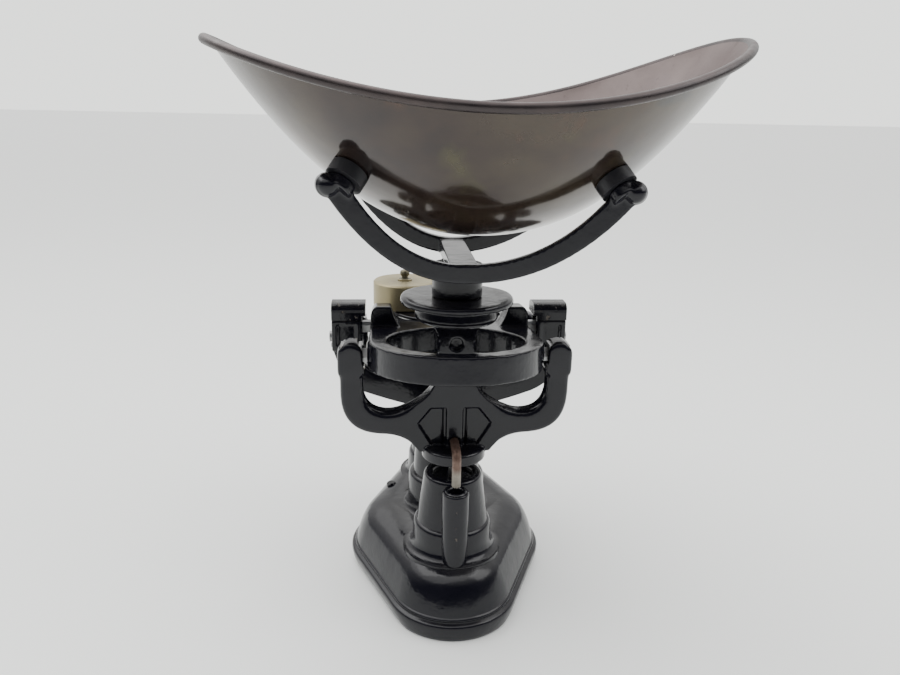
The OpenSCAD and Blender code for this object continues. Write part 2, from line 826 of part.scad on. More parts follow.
module along(at, dir) {
  translate(at) rotate([0, acos(dir[2]), atan2(dir[1], dir[0])]) children();
}

seat_t = 7;
seat_r = 8;
tip_r = 7;
tip_reach = 6;
pad_stud_r = 2.2;
stud_deep = 6;
// One arm of a bow: a bar on edge that rises from the spine to a rounded nose under its pad.
module bow_arm(p) {
  n = pad_normal(p);
  seat = pad_seat(p);
  root = [0, front_y + p[1] * bow_y, bow_z];
  plan = [seat[0] - root[0], seat[1] - root[1]] / norm([seat[0] - root[0], seat[1] - root[1]]);
  nose = seat - seat_t * n + tip_reach * [0.85 * plan[0], 0.85 * plan[1], 0.53];
  span = norm([nose[0] - root[0], nose[1] - root[1]]);
  rise = nose[2] - tip_r - bow_z;
  low = [for (i = [0 : 14]) let (t = i / 14) [span * t, rise * (0.83 * t * t + 0.17 * pow(t, 4))]];
  slope = [for (i = [0 : 14]) let (t = i / 14) rise / span * (1.66 * t + 0.68 * pow(t, 3))];
  top = [for (i = [14 : -1 : 0]) let (h = bow_h + 2 * pow(i / 14, 3))
    low[i] + h / norm([1, slope[i]]) * [-slope[i], 1]];
  translate([root[0], root[1], bow_z]) rotate([0, 0, atan2(plan[1], plan[0])]) {
    upright(bow_t) polygon(concat(low, top));
    translate([span, 0, rise + tip_r]) bar_y(tip_r, -bow_t / 2, bow_t / 2);
  }
  translate(nose) sphere(r = tip_r - 0.6);
  along(seat - seat_t * n, n) cylinder(r = seat_r, h = seat_t + 1);
}

spine_w = 18;
module pan_cradle() {
  color(iron) difference() {
    union() {
      for (p = pads) bow_arm(p);
      translate([-spine_w / 2, front_y - bow_y - 2, bow_z]) cube([spine_w, 2 * bow_y + 4, bow_h - 1]);
      translate([0, front_y, front_z + flange_z + gap])
        cylinder(r = hub_r, h = bow_z - front_z - flange_z + 2);
    }
    translate([0, front_y, front_z + flange_z]) cylinder(r = spigot_r, h = 18);
    for (p = pads) along(pad_seat(p), pad_normal(p)) cylinder(r = pad_r + gap, h = pad_t);
    for (p = pads) along(pad_seat(p) - stud_deep * pad_normal(p), pad_normal(p))
      cylinder(r = pad_stud_r, h = stud_deep + 2);
  }
}

module cradle_spigot() {
  color(steel) translate([0, front_y, front_z + flange_z - 24]) cylinder(r = spigot_r, h = 24 + 18);
}

module cradle_pads() {
  color(felt) for (p = pads) along(pad_seat(p), pad_normal(p)) difference() {
    cylinder(r = pad_r, h = pad_t);
    translate([0, 0, -1]) cylinder(r = pad_stud_r, h = 5);
  }
}

module pad_studs() {
  color(iron) for (p = pads) along(pad_seat(p) - stud_deep * pad_normal(p), pad_normal(p))
    cylinder(r = pad_stud_r, h = stud_deep + 4);
}

// ---- Assembly --------------------------------------------------------------

base_casting();
fulcrum_yoke();
yoke_bolts();
fulcrum_bearings();
bearing_caps();
cap_screws();
stay_pin();
beam_casting();
fulcrum_knives();
front_end_knives();
rear_end_knives();
check_bar();
front_carrier();
front_horn_bearings();
front_guide_rod();
front_leg();
front_leg_pin();
rear_carrier();
rear_horn_bearings();
rear_guide_rod();
rear_leg();
rear_leg_pin();
weights_plate();
plate_screws();
balance_lead();
trim_weight();
pan_cradle();
cradle_spigot();
cradle_pads();
pad_studs();
pan_shell();
pan_rim_wire();
brass_weight();
weight_knob();
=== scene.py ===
"""Looks of a counter balance scale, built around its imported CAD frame."""

import json
import math

import bmesh
import bpy
from mathutils import Matrix, Vector, noise


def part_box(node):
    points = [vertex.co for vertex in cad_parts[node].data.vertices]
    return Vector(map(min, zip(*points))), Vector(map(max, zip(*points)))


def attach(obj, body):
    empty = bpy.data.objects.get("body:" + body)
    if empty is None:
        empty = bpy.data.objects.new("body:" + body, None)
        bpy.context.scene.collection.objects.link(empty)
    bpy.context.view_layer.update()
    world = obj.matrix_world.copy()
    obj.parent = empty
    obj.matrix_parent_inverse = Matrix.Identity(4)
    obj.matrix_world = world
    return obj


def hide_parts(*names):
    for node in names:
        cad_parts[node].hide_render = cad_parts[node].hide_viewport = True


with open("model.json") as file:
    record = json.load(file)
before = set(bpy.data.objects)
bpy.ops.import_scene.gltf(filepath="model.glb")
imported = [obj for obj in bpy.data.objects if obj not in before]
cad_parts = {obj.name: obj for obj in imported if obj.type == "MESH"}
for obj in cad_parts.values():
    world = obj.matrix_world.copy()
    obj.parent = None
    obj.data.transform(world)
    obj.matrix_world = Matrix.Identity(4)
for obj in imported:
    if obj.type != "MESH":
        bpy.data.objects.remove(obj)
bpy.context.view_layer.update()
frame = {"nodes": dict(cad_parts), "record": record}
nodes = frame["nodes"]

MM = 0.001
ARM = 61.0  # distance of the pillars from the middle, in millimetres
CAMERA_PLACE = (-0.0473, -0.5692, 0.3612)
CAMERA_SWING, CAMERA_DOWN, CAMERA_ROLL = -4.85, 16.73, 1.19
CAMERA_LENS = 30.48
FLOOR_REACH = 30.0

# ---- Camera, lights and floor ------------------------------------------------


def add_camera():
    """The camera stands in front of the goods end, a little left of the middle, and looks slightly down."""
    data = bpy.data.cameras.new("camera")
    data.sensor_width = 36.0
    data.lens = CAMERA_LENS
    data.clip_start = 0.01
    camera = bpy.data.objects.new("camera", data)
    turn = Matrix.Rotation(math.radians(CAMERA_SWING), 4, "Z")
    pitch = Matrix.Rotation(math.radians(90.0 - CAMERA_DOWN), 4, "X")
    roll = Matrix.Rotation(math.radians(CAMERA_ROLL), 4, "Z")
    place = Matrix.Translation(CAMERA_PLACE)
    camera.matrix_world = place @ turn @ pitch @ roll
    bpy.context.scene.collection.objects.link(camera)
    bpy.context.scene.camera = camera


def add_area_light(name, place, aim, size, power):
    data = bpy.data.lights.new(name, "AREA")
    data.shape = "RECTANGLE"
    data.size, data.size_y = size
    data.energy = power
    light = bpy.data.objects.new(name, data)
    light.location = place
    light.rotation_euler = (Vector(aim) - Vector(place)).to_track_quat("-Z", "Y").to_euler()
    bpy.context.scene.collection.objects.link(light)


def add_sky_light(aim, power, spread):
    """One very wide, soft light that falls evenly on the whole floor."""
    data = bpy.data.lights.new("sky_light", "SUN")
    data.energy = power
    data.angle = math.radians(spread)
    light = bpy.data.objects.new("sky_light", data)
    light.rotation_euler = Vector(aim).to_track_quat("-Z", "Y").to_euler()
    bpy.context.scene.collection.objects.link(light)


def add_world():
    """A pale room, bright overhead and behind the scale and dim in front, which keeps the black deep."""
    world = bpy.data.worlds.new("studio")
    bpy.context.scene.world = world
    world.use_nodes = True
    tree = world.node_tree
    make, join = tree.nodes.new, tree.links.new
    lit = tree.nodes["Background"]
    lit.inputs["Strength"].default_value = 1.3
    direction = make("ShaderNodeTexCoord")
    split = make("ShaderNodeSeparateXYZ")
    join(direction.outputs["Generated"], split.inputs["Vector"])
    depth = make("ShaderNodeMath")
    depth.operation = "MULTIPLY_ADD"
    depth.inputs[1].default_value = 0.55
    join(split.outputs["Y"], depth.inputs[0])
    join(split.outputs["Z"], depth.inputs[2])
    ramp = make("ShaderNodeValToRGB")
    ramp.color_ramp.elements[0].position = 0.0
    ramp.color_ramp.elements[0].color = (0.045, 0.048, 0.065, 1.0)
    ramp.color_ramp.elements[1].position = 0.70
    ramp.color_ramp.elements[1].color = (1.0, 1.0, 0.99, 1.0)
    join(depth.outputs[0], ramp.inputs["Fac"])
    join(ramp.outputs["Color"], lit.inputs["Color"])
    seen = make("ShaderNodeBackground")
    seen.inputs["Color"].default_value = (0.985, 1.0, 0.97, 1.0)
    seen.inputs["Strength"].default_value = 1.9
    path = make("ShaderNodeLightPath")
    choose = make("ShaderNodeMixShader")
    join(path.outputs["Is Camera Ray"], choose.inputs["Fac"])
    join(lit.outputs["Background"], choose.inputs[1])
    join(seen.outputs["Background"], choose.inputs[2])
    join(choose.outputs["Shader"], tree.nodes["World Output"].inputs["Surface"])


def add_floor():
    """A plain pale floor that reaches far past every view."""
    mesh = bpy.data.meshes.new("floor")
    build = bmesh.new()
    bmesh.ops.create_grid(build, x_segments=8, y_segments=8, size=FLOOR_REACH)
    build.to_mesh(mesh)
    build.free()
    floor = bpy.data.objects.new("floor", mesh)
    bpy.context.scene.collection.objects.link(floor)
    material, shader = new_material("floor_board")
    shader.inputs["Base Color"].default_value = (0.89, 0.905, 0.885, 1.0)
    shader.inputs["Roughness"].default_value = 0.38
    floor.data.materials.append(material)


# ---- Materials ---------------------------------------------------------------


def new_material(name):
    material = bpy.data.materials.new(name)
    material.use_nodes = True
    return material, material.node_tree.nodes["Principled BSDF"]


class Recipe:
    """A procedural material in the making: its node tree, its shader and a few short ways to add nodes."""

    def __init__(self, name):
        self.material, self.shader = new_material(name)
        self.tree = self.material.node_tree
        self.place = self.add("ShaderNodeTexCoord").outputs["Object"]

    def add(self, kind):
        return self.tree.nodes.new(kind)

    def join(self, out, into):
        self.tree.links.new(out, into)

    def noise(self, scale, detail=4.0, rough=0.55, stretch=None):
        node = self.add("ShaderNodeTexNoise")
        node.inputs["Scale"].default_value = scale
        node.inputs["Detail"].default_value = detail
        node.inputs["Roughness"].default_value = rough
        source = self.place
        if stretch:
            mapping = self.add("ShaderNodeMapping")
            mapping.inputs["Scale"].default_value = stretch
            self.join(source, mapping.inputs["Vector"])
            source = mapping.outputs["Vector"]
        self.join(source, node.inputs["Vector"])
        return node.outputs["Fac"]

    def ramp(self, value, *stops):
        node = self.add("ShaderNodeValToRGB")
        elements = node.color_ramp.elements
        for _ in stops[2:]:
            elements.new(0.5)
        for element, (position, colour) in zip(elements, stops):
            element.position = position
            element.color = (*colour, 1.0) if isinstance(colour, tuple) else (colour, colour, colour, 1.0)
        self.join(value, node.inputs["Fac"])
        return node.outputs["Color"]

    def mix(self, share, first, second):
        node = self.add("ShaderNodeMix")
        node.data_type = "RGBA"
        for value, label in ((share, "Factor"), (first, "A"), (second, "B")):
            socket = node.inputs[label]
            if isinstance(value, (int, float)):
                socket.default_value = value
            elif isinstance(value, tuple):
                socket.default_value = (*value, 1.0)
            else:
                self.join(value, socket)
        return node.outputs["Result"]

    def maths(self, operation, first, second=0.0):
        node = self.add("ShaderNodeMath")
        node.operation = operation
        for value, socket in ((first, node.inputs[0]), (second, node.inputs[1])):
            if isinstance(value, (int, float)):
                socket.default_value = value
            else:
                self.join(value, socket)
        return node.outputs["Value"]

    def bump(self, height, distance, strength=1.0, under=None):
        node = self.add("ShaderNodeBump")
        node.inputs["Distance"].default_value = distance
        node.inputs["Strength"].default_value = strength
        self.join(height, node.inputs["Height"])
        if under:
            self.join(under, node.inputs["Normal"])
        return node.outputs["Normal"]

    def facing_up(self):
        """How squarely the surface looks up, from 0 to 1."""
        split = self.add("ShaderNodeSeparateXYZ")
        self.join(self.add("ShaderNodeNewGeometry").outputs["Normal"], split.inputs["Vector"])
        return split.outputs["Z"]

    def edges(self, low, high):
        """1 along sharp outer edges and 0 elsewhere."""
        return self.ramp(self.add("ShaderNodeNewGeometry").outputs["Pointiness"], (low, 0.0), (high, 1.0))

    def finish(self, colour, rough, normal=None, **fixed):
        self.join(colour, self.shader.inputs["Base Color"])
        if isinstance(rough, float):
            self.shader.inputs["Roughness"].default_value = rough
        else:
            self.join(rough, self.shader.inputs["Roughness"])
        if normal:
            self.join(normal, self.shader.inputs["Normal"])
        for name, value in fixed.items():
            self.shader.inputs[name.replace("_", " ")].default_value = value
        return self.material


def enamel(name, wear=1.0):
    """Gloss black enamel over a sandy casting: orange peel, dust on top and chipped edges."""
    r = Recipe(name)
    tone = r.ramp(r.noise(38.0), (0.3, (0.0032, 0.0033, 0.0062)), (0.7, (0.0065, 0.0062, 0.0100)))
    dusty = r.maths("MULTIPLY", r.ramp(r.facing_up(), (0.55, 0.0), (1.0, 1.0)),
                    r.ramp(r.noise(24.0, 6.0, 0.65), (0.40, 0.0), (0.74, 0.32)))
    tone = r.mix(dusty, tone, (0.05, 0.047, 0.042))
    patches = r.ramp(r.noise(170.0, 5.0, 0.7), (0.60, 0.0), (0.66, wear))
    worn = r.maths("MULTIPLY", r.edges(0.54, 0.60), patches)
    tone = r.mix(worn, tone, (0.10, 0.085, 0.07))
    rough = r.ramp(r.noise(55.0, 5.0, 0.6), (0.25, 0.10), (0.75, 0.22))
    rough = r.mix(dusty, rough, (0.42, 0.42, 0.42))
    rough = r.mix(worn, rough, (0.6, 0.6, 0.6))
    lumps = r.bump(r.noise(62.0, 3.0, 0.5), 0.0011, 0.42)
    peel = r.bump(r.noise(420.0, 2.0, 0.5), 0.00022, 0.34, lumps)
    chips = r.bump(r.maths("SUBTRACT", 1.0, worn), 0.0002, 0.6, peel)
    return r.finish(tone, rough, chips, IOR=1.45, Specular_IOR_Level=0.42)


def patina_outside(name):
    """Dark brown lacquered copper with olive, blue and reddish clouds, shallow dents and scratches."""
    r = Recipe(name)
    tone = r.ramp(r.noise(9.0, 5.0, 0.62, (1.0, 1.0, 1.6)),
                  (0.30, (0.014, 0.012, 0.014)), (0.46, (0.034, 0.023, 0.019)),
                  (0.60, (0.050, 0.037, 0.025)), (0.74, (0.018, 0.021, 0.026)))
    tone = r.mix(r.ramp(r.noise(17.0, 4.0, 0.6), (0.55, 0.0), (0.68, 0.6)), tone, (0.088, 0.042, 0.024))
    tone = r.mix(r.ramp(r.noise(13.0, 4.0, 0.6, (1.3, 1.0, 1.0)), (0.58, 0.0), (0.70, 0.6)), tone,
                 (0.070, 0.066, 0.026))
    specks = r.ramp(r.noise(240.0, 3.0, 0.6), (0.70, 0.0), (0.76, 0.8))
    tone = r.mix(specks, tone, (0.010, 0.009, 0.009))
    rough = r.ramp(r.noise(21.0, 6.0, 0.6), (0.28, 0.07), (0.74, 0.19))
    dents = r.bump(r.noise(26.0, 2.0, 0.45), 0.0016, 0.42)
    scratches = r.bump(r.noise(320.0, 2.0, 0.5, (1.0, 0.12, 1.0)), 0.00010, 0.16, dents)
    return r.finish(tone, rough, scratches, Metallic=0.45, Coat_Weight=0.25, Coat_Roughness=0.07)


def patina_inside(name):
    """The same copper, duller and mauve brown where goods have rubbed it."""
    r = Recipe(name)
    tone = r.ramp(r.noise(14.0, 5.0, 0.6), (0.30, (0.125, 0.092, 0.088)), (0.55, (0.165, 0.128, 0.120)),
                  (0.75, (0.140, 0.108, 0.108)))
    tone = r.mix(r.ramp(r.noise(120.0, 4.0, 0.65), (0.62, 0.0), (0.72, 0.45)), tone, (0.075, 0.055, 0.050))
    rough = r.ramp(r.noise(40.0, 6.0, 0.6), (0.3, 0.46), (0.7, 0.62))
    dents = r.bump(r.noise(16.0, 2.0, 0.4), 0.002, 0.3)
    scratches = r.bump(r.noise(260.0, 3.0, 0.5, (0.15, 1.0, 1.0)), 0.00015, 0.3, dents)
    return r.finish(tone, rough, scratches, Metallic=0.35)


def patina_bead(name):
    """The rolled rim: darker than the sheet, rubbed along its crown, with a few pale chips."""
    r = Recipe(name)
    tone = r.ramp(r.noise(26.0, 5.0, 0.6), (0.30, (0.028, 0.024, 0.026)), (0.70, (0.060, 0.046, 0.044)))
    crown = r.maths("MULTIPLY", r.ramp(r.facing_up(), (0.45, 0.0), (0.95, 0.75)),
                    r.ramp(r.noise(45.0, 5.0, 0.6), (0.35, 0.2), (0.65, 1.0)))
    tone = r.mix(crown, tone, (0.115, 0.082, 0.078))
    chip = r.maths("MULTIPLY", r.ramp(r.noise(150.0, 4.0, 0.65), (0.665, 0.0), (0.685, 1.0)),
                   r.ramp(r.noise(7.0, 2.0, 0.5), (0.54, 0.0), (0.60, 1.0)))
    tone = r.mix(chip, tone, (0.46, 0.43, 0.38))
    rough = r.ramp(r.noise(60.0, 5.0, 0.6), (0.3, 0.24), (0.7, 0.42))
    skin = r.bump(r.noise(180.0, 3.0, 0.5), 0.0003, 0.35)
    return r.finish(tone, rough, skin, Metallic=0.6)


def ground_steel(name):
    """Ground steel with fine marks and patches of brown tarnish."""
    r = Recipe(name)
    tone = r.ramp(r.noise(70.0, 5.0, 0.6), (0.3, (0.26, 0.26, 0.26)), (0.7, (0.46, 0.46, 0.46)))
    tone = r.mix(r.ramp(r.noise(46.0, 5.0, 0.65), (0.56, 0.0), (0.72, 0.75)), tone, (0.16, 0.10, 0.065))
    rough = r.ramp(r.noise(90.0, 4.0, 0.6), (0.3, 0.28), (0.7, 0.48))
    marks = r.bump(r.noise(700.0, 2.0, 0.5, (1.0, 0.08, 1.0)), 0.0001, 0.4)
    return r.finish(tone, rough, marks, Metallic=0.9)


def rusted_rod(name, bend_height):
    """A bare rod: brown rust above bend_height and dull grey steel below it."""
    r = Recipe(name)
    grey = r.ramp(r.noise(90.0, 5.0, 0.6), (0.3, (0.16, 0.145, 0.12)), (0.7, (0.30, 0.275, 0.235)))
    brown = r.ramp(r.noise(130.0, 5.0, 0.7), (0.3, (0.085, 0.048, 0.034)), (0.7, (0.19, 0.125, 0.10)))
    split = r.add("ShaderNodeSeparateXYZ")
    r.join(r.place, split.inputs["Vector"])
    height = r.maths("ADD", split.outputs["Z"], r.maths("MULTIPLY", r.noise(110.0), 0.006))
    above = r.maths("MULTIPLY", r.maths("SUBTRACT", height, bend_height), 160.0)
    share = r.ramp(above, (0.0, 0.0), (1.0, 1.0))
    rough = r.ramp(r.noise(150.0, 4.0, 0.6), (0.3, 0.36), (0.7, 0.62))
    pits = r.bump(r.noise(380.0, 4.0, 0.65), 0.00035, 0.5)
    return r.finish(r.mix(share, grey, brown), rough, pits, Metallic=0.55)


def aged_brass(name):
    """Dull brass gone olive grey, with a painted highlight: its sharp edges, the top edge among them, are
    painted paler where light would catch them.
    """
    r = Recipe(name)
    tone = r.ramp(r.noise(32.0, 5.0, 0.6), (0.28, (0.105, 0.097, 0.066)), (0.55, (0.150, 0.139, 0.096)),
                  (0.78, (0.180, 0.165, 0.112)))
    tone = r.mix(r.ramp(r.noise(85.0, 5.0, 0.7), (0.60, 0.0), (0.72, 0.6)), tone, (0.085, 0.074, 0.050))
    # painted highlight: sharp edges painted pale brass, standing in for the light that catches the weight's
    # top
    painted_highlight_edges = r.maths("MULTIPLY", r.edges(0.52, 0.58), 0.8)
    tone = r.mix(painted_highlight_edges, tone, (0.42, 0.36, 0.21))
    rough = r.ramp(r.noise(75.0, 5.0, 0.6), (0.3, 0.38), (0.7, 0.56))
    turned = r.bump(r.noise(500.0, 2.0, 0.5, (0.1, 0.1, 1.0)), 0.00015, 0.3)
    return r.finish(tone, rough, turned, Metallic=0.65)


def rubber(name):
    """Black rubber, faintly shiny, with a moulded grain."""
    r = Recipe(name)
    tone = r.ramp(r.noise(60.0, 5.0, 0.6), (0.3, (0.011, 0.011, 0.014)), (0.7, (0.022, 0.021, 0.023)))
    rough = r.ramp(r.noise(110.0, 4.0, 0.6), (0.3, 0.32), (0.7, 0.5))
    grain = r.bump(r.noise(600.0, 3.0, 0.6), 0.0002, 0.4)
    return r.finish(tone, rough, grain)


def lead_grey(name):
    """Cast lead, dull and mottled."""
    r = Recipe(name)
    tone = r.ramp(r.noise(80.0, 5.0, 0.65), (0.3, (0.10, 0.10, 0.11)), (0.7, (0.20, 0.20, 0.215)))
    rough = r.ramp(r.noise(60.0), (0.3, 0.5), (0.7, 0.72))
    return r.finish(tone, rough, r.bump(r.noise(120.0, 4.0, 0.6), 0.0006, 0.4), Metallic=0.7)


# ---- Mesh tools --------------------------------------------------------------


def new_object(name, mesh):
    piece = bpy.data.objects.new(name, mesh)
    bpy.context.scene.collection.objects.link(piece)
    return piece


def apply_modifiers(piece):
    """The piece's mesh becomes what its modifiers make of it."""
    graph = bpy.context.evaluated_depsgraph_get()
    mesh = bpy.data.meshes.new_from_object(piece.evaluated_get(graph))
    piece.modifiers.clear()
    piece.data = mesh


def discard(piece):
    bpy.data.objects.remove(piece, do_unlink=True)


def shade_by_angle(mesh, degrees):
    """Smooth shading, with edges sharper than this many degrees left crisp."""
    limit = math.radians(degrees)
    build = bmesh.new()
    build.from_mesh(mesh)
    for face in build.faces:
        face.smooth = True
    for edge in build.edges:
        edge.smooth = edge.calc_face_angle(0.0) < limit
    build.to_mesh(mesh)
    build.free()


def closed_mesh(name, points, faces):
    """A mesh from points in millimetres, with points that meet joined and its faces turned outwards."""
    mesh = bpy.data.meshes.new(name)
    mesh.from_pydata([Vector(point) * MM for point in points], [], faces)
    build = bmesh.new()
    build.from_mesh(mesh)
    bmesh.ops.remove_doubles(build, verts=build.verts, dist=1e-6)
    bmesh.ops.dissolve_degenerate(build, edges=build.edges, dist=1e-7)
    bmesh.ops.recalc_face_normals(build, faces=build.faces)
    build.to_mesh(mesh)
    build.free()
    return mesh


def lathe(name, outline, centre=(0.0, 0.0), steps=128):
    """A closed outline of (radius, height) in millimetres, turned about an upright axis."""
    count = len(outline)
    points = []
    for i in range(steps):
        across, along = math.cos(math.tau * i / steps), math.sin(math.tau * i / steps)
        points += [(centre[0] + r * across, centre[1] + r * along, z) for r, z in outline]
    faces = []
    for i in range(steps):
        for k in range(count):
            a, b = i * count, (i + 1) % steps * count
            faces.append((a + k, b + k, b + (k + 1) % count, a + (k + 1) % count))
    return new_object(name, closed_mesh(name, points, faces))


def curve(p, q, r, count=8):
    """Points along a quadratic curve from p to r, pulled towards q."""
    found = []
    for i in range(count + 1):
        t = i / count
        found.append(tuple((1 - t) ** 2 * a + 2 * t * (1 - t) * b + t * t * c for a, b, c in zip(p, q, r)))
    return found


def block(name, low, high, radius):
    """A box in millimetres with rounded edges."""
    build = bmesh.new()
    bmesh.ops.create_cube(build, size=1.0)
    for vert in build.verts:
        vert.co = Vector([(low[k] if vert.co[k] < 0 else high[k]) * MM for k in range(3)])
    bmesh.ops.bevel(build, geom=build.edges[:], offset=radius * MM, segments=4, profile=0.5, affect="EDGES")
    mesh = bpy.data.meshes.new(name)
    build.to_mesh(mesh)
    build.free()
    return new_object(name, mesh)


def combine(piece, others, operation):
    """An exact union with, or difference of, the other pieces, which are then discarded."""
    group = bpy.data.collections.new("operands")
    for other in others:
        group.objects.link(other)
    step = piece.modifiers.new("combine", "BOOLEAN")
    step.operation = operation
    step.operand_type = "COLLECTION"
    step.collection = group
    step.solver = "EXACT"
    step.use_self = operation == "UNION"
    apply_modifiers(piece)
    for other in others:
        discard(other)
    bpy.data.collections.remove(group)


def place_piece(piece, body, slot, *stands_for):
    """The piece rides on a body and stands for these CAD nodes, which it hides; slot is not used."""
    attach(piece, body)
    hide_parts(*stands_for)


def soft_casting(node, body, material, voxel, passes, round_zone=None, round_passes=0, grow=0.0):
    """A CAD casting with every edge eased, and rounder and fuller still where round_zone says."""
    source = nodes[node]
    piece = new_object("cast_" + node, source.data.copy())
    piece.data.materials.clear()
    piece.data.materials.append(material)
    remesh = piece.modifiers.new("skin", "REMESH")
    remesh.mode = "VOXEL"
    remesh.voxel_size = voxel * MM
    remesh.use_smooth_shade = True
    apply_modifiers(piece)
    ease = piece.modifiers.new("ease", "SMOOTH")
    ease.factor = 0.5
    ease.iterations = passes
    if round_zone:
        group = piece.vertex_groups.new(name="round")
        for vert in piece.data.vertices:
            share = round_zone(vert.co)
            if share > 0.0:
                group.add([vert.index], share, "REPLACE")
        swell = piece.modifiers.new("round", "SMOOTH")
        swell.factor = 0.5
        swell.iterations = round_passes
        swell.vertex_group = "round"
        push = piece.modifiers.new("push", "DISPLACE")
        push.mid_level = 0.0
        push.strength = grow * MM
        push.vertex_group = "round"
    apply_modifiers(piece)
    for face in piece.data.polygons:
        face.use_smooth = True
    place_piece(piece, body, "black_iron", node)
    return piece


# ---- Base --------------------------------------------------------------------

BASE_SIDE_R = 60.0
BASE_NOSE_R = 49.4
BAND_TOP = 10.5
FOOT_START, FOOT_FADE, SKIRT_RISE = 104.0, 12.0, 2.6


def boat_outline(inset, count=48):
    """The base's plan in millimetres, drawn in by an inset: round noses and cheeks, straight flanks."""
    low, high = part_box("base_casting")
    side_reach = high.x / MM - BASE_SIDE_R
    nose_reach = high.y / MM - BASE_NOSE_R
    span = math.hypot(nose_reach, side_reach)
    tangent = math.atan2(nose_reach, side_reach) - math.acos((BASE_NOSE_R - BASE_SIDE_R) / span)
    side_r, nose_r = BASE_SIDE_R - inset, BASE_NOSE_R - inset

    def arc(centre, radius, start, end, steps):
        angles = [start + (end - start) * i / steps for i in range(steps + 1)]
        return [(centre[0] + radius * math.cos(a), centre[1] + radius * math.sin(a)) for a in angles]

    return (arc((side_reach, 0), side_r, tangent, -tangent, count // 2)
            + arc((0, nose_reach), nose_r, -tangent, math.pi + tangent, count)
            + arc((-side_reach, 0), side_r, math.pi + tangent, math.pi - tangent, count // 2)
            + arc((0, -nose_reach), nose_r, math.pi - tangent, math.tau + tangent, count))


def skirt_rise(y, z):
    """How far the foot band's lower edge lifts off the table along the flanks, between the noses."""
    share = max(0.0, min(1.0, (FOOT_START - abs(y)) / FOOT_FADE))
    low = max(0.0, 1.0 - z / BAND_TOP)
    return SKIRT_RISE * low * share * share * (3 - 2 * share)


def base_shell():
    """The base's hollow body: a foot band under a double bead, steep sides and a rounded shoulder."""
    outside = [(0.0, 2.4), (1.0, 1.5), (3.0, 0.9), (7.0, 0.3), (10.5, 0.05)]
    outside += [(z, inset) for inset, z in curve((0.05, 10.5), (0.1, 12.9), (2.2, 13.3), 5)[1:]]
    outside += [(13.7, 3.1), (14.5, 3.3)]
    outside += [(z, inset) for inset, z in curve((3.3, 14.5), (2.3, 16.0), (4.3, 17.2), 6)[1:]]
    outside += [(z, inset) for inset, z in curve((4.3, 17.2), (7.4, 30.0), (12.2, 38.0), 8)[1:]]
    outside += [(z, inset) for inset, z in curve((12.2, 38.0), (17.5, 46.2), (30.0, 47.0), 12)[1:]]
    inside = [(41.0, 31.0), (37.0, 21.0), (30.0, 16.0), (14.0, 8.0), (3.0, 7.0), (0.0, 6.5)]
    levels = outside + inside
    rings = [[(x, y, z + skirt_rise(y, z)) for x, y in boat_outline(inset)] for z, inset in levels]
    count = len(rings[0])
    points = [point for ring in rings for point in ring]
    faces = []
    deck = len(outside) - 1
    for k in range(len(levels)):
        if k == deck:
            continue
        following = (k + 1) % len(levels)
        for i in range(count):
            j = (i + 1) % count
            faces.append((k * count + i, k * count + j, following * count + j, following * count + i))
    faces.append(tuple(deck * count + i for i in range(count)))
    faces.append(tuple((deck + 1) * count + i for i in reversed(range(count))))
    return new_object("cast_base", closed_mesh("cast_base", points, faces))


PILLAR_BORE = 13.5
PILLAR_TOP = 105.7
ROOT = 38.5  # where the pillars start, inside the deck
RIB_RADIUS = 9.5
RIB_OUT = 26.6  # from a pillar's middle to its rib's
SOCKET_OUT = 27.5
BOSS_PLACE = (-45.0, 34.0)


def pillar(y):
    """A tapering hollow pillar with a flared foot, a stepped collar and a wide rounded mouth."""
    outline = [(PILLAR_BORE, ROOT), (36.5, ROOT)]
    outline += curve((36.5, 46.4), (29.6, 46.6), (29.3, 56.0), 10)
    outline += curve((28.9, 64.4), (28.6, 67.6), (26.5, 68.4), 6)
    outline += [(26.2, 69.4)]
    outline += curve((21.5, 102.6), (21.2, 105.5), (19.2, PILLAR_TOP), 6)
    outline += curve((16.6, PILLAR_TOP), (13.9, 105.2), (PILLAR_BORE, 102.4), 5)
    return lathe("pillar", outline, (0.0, y))


def rib(y, facing):
    """The round pilaster on a pillar, with a lip round the socket that the guide rod drops into."""
    outline = [(0.0, ROOT), (RIB_RADIUS, ROOT), (RIB_RADIUS, 100.4)]
    outline += curve((RIB_RADIUS, 100.4), (9.4, 102.3), (7.8, 102.4), 5)[1:]
    outline += curve((7.8, 102.4), (6.4, 104.4), (4.9, 102.4), 6)[1:]
    outline += [(0.0, 102.4)]
    return lathe("rib", outline, (0.0, y + facing * RIB_OUT), 72)


def rib_web(y, facing):
    """The block that joins a rib to its pillar."""
    near, far = y + facing * 12, y + facing * 26
    return block("web", (-RIB_RADIUS, min(near, far), ROOT), (RIB_RADIUS, max(near, far), 94.5), 0.6)


def column():
    """The middle column, which carries the yoke."""
    outline = [(0.0, ROOT), (37.0, ROOT)]
    outline += curve((37.0, 46.6), (31.6, 46.8), (31.0, 56.0), 10)
    outline += curve((30.6, 73.6), (30.3, 76.9), (26.8, 77.6), 6)
    outline += [(26.6, 78.6)]
    outline += curve((24.9, 110.2), (24.7, 111.9), (23.6, 112.0), 4)
    outline += [(0.0, 112.0)]
    return lathe("column", outline)


